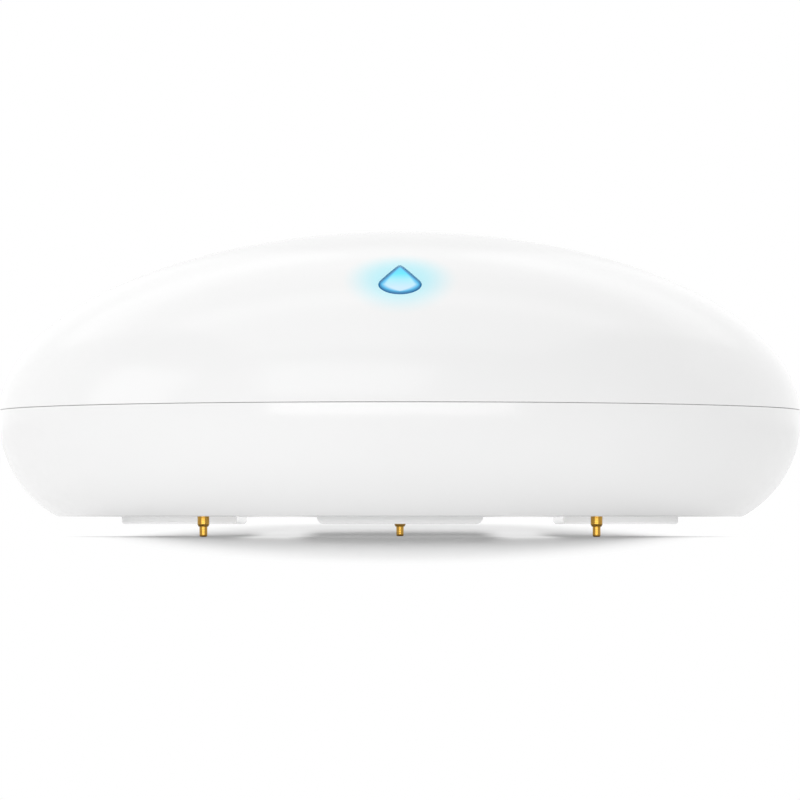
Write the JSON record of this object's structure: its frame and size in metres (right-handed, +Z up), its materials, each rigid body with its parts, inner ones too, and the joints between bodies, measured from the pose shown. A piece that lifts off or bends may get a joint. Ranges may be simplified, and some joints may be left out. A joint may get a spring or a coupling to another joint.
{
  "type": "water leak sensor",
  "caption": "Round white water leak sensor with a domed twist-off cover, a drop-shaped light and sprung gold probes under a flat sole, with board, cell and buzzer inside",
  "frame": {"origin": "middle of the casing's axis, on the floor that the probe tips touch", "axes": "+Z up along the casing's axis, -Y out of the front with the drop light"},
  "size_m": [0.072, 0.072, 0.0274],
  "materials": {
    "white_abs": "gloss",
    "blue_lens": "gloss",
    "grey_silicone": "matte",
    "gold_plate": "polished",
    "spring_steel": "satin",
    "board_laminate": "satin",
    "zinc_steel": "satin",
    "black_plastic": "matte",
    "nickel_plate": "polished",
    "cell_paste": "matte",
    "sleeve_film": "gloss",
    "lamp_housing": "matte",
    "clear_polycarbonate": "gloss",
    "brass_disc": "satin",
    "grey_plastic": "matte",
    "chip_ceramic": "matte",
    "copper_wire": "satin",
    "capacitor_can": "satin"
  },
  "bodies": {
    "base": {"base_shell": "white_abs", "probe_barrel_left": "gold_plate", "probe_barrel_right": "gold_plate", "probe_barrel_rear": "gold_plate", "probe_spring_left": "spring_steel", "probe_spring_right": "spring_steel", "probe_spring_rear": "spring_steel", "probe_seals": "grey_silicone", "main_board": "board_laminate", "board_screws": "zinc_steel", "battery_holder": "black_plastic", "holder_screws": "zinc_steel", "contact_positive": "nickel_plate", "contact_negative": "nickel_plate", "contact_spring": "spring_steel", "battery_can": "nickel_plate", "battery_core": "cell_paste", "battery_gasket": "black_plastic", "battery_cap": "nickel_plate", "battery_sleeve": "sleeve_film", "status_lamp": "lamp_housing", "light_guide": "clear_polycarbonate", "buzzer_case": "black_plastic", "buzzer_disc": "brass_disc", "switch_housing": "black_plastic", "controller_chip": "black_plastic", "crystal": "nickel_plate", "chip_parts": "chip_ceramic", "radio_board": "board_laminate", "radio_shield": "nickel_plate", "antenna_coil": "copper_wire", "supply_capacitor": "capacitor_can", "tilt_sensor": "nickel_plate", "thermistor": "chip_ceramic"},
    "seal": {"cover_seal": "grey_silicone"},
    "cover": {"cover_shell": "white_abs", "drop_lens": "blue_lens", "lens_seal": "grey_silicone"},
    "probe_left": {"probe_plunger_left": "gold_plate"},
    "probe_right": {"probe_plunger_right": "gold_plate"},
    "probe_rear": {"probe_plunger_rear": "gold_plate"},
    "button": {"service_button": "grey_plastic"}
  },
  "joints": [
    {"name": "cover_turn", "type": "hinge", "parent": "base", "child": "seal", "pos_m": [0, 0, 0.0113], "axis": [0, 0, 1], "range_deg": [0, 22]},
    {"name": "cover_lift", "type": "slide", "parent": "seal", "child": "cover", "axis": [0, 0, 1], "range_m": [0, 0.035]},
    {"name": "probe_left_press", "type": "slide", "parent": "base", "child": "probe_left", "axis": [0, 0, 1], "range_m": [0, 0.00085], "stiffness_N_per_m": 1500, "deforming": ["probe_spring_left"]},
    {"name": "probe_right_press", "type": "slide", "parent": "base", "child": "probe_right", "axis": [0, 0, 1], "range_m": [0, 0.00085], "stiffness_N_per_m": 1500, "deforming": ["probe_spring_right"]},
    {"name": "probe_rear_press", "type": "slide", "parent": "base", "child": "probe_rear", "axis": [0, 0, 1], "range_m": [0, 0.00085], "stiffness_N_per_m": 1500, "deforming": ["probe_spring_rear"]},
    {"name": "service_button_press", "type": "slide", "parent": "base", "child": "button", "axis": [0, 0, -1], "range_m": [0, 0.0003], "stiffness_N_per_m": 2000}
  ]
}
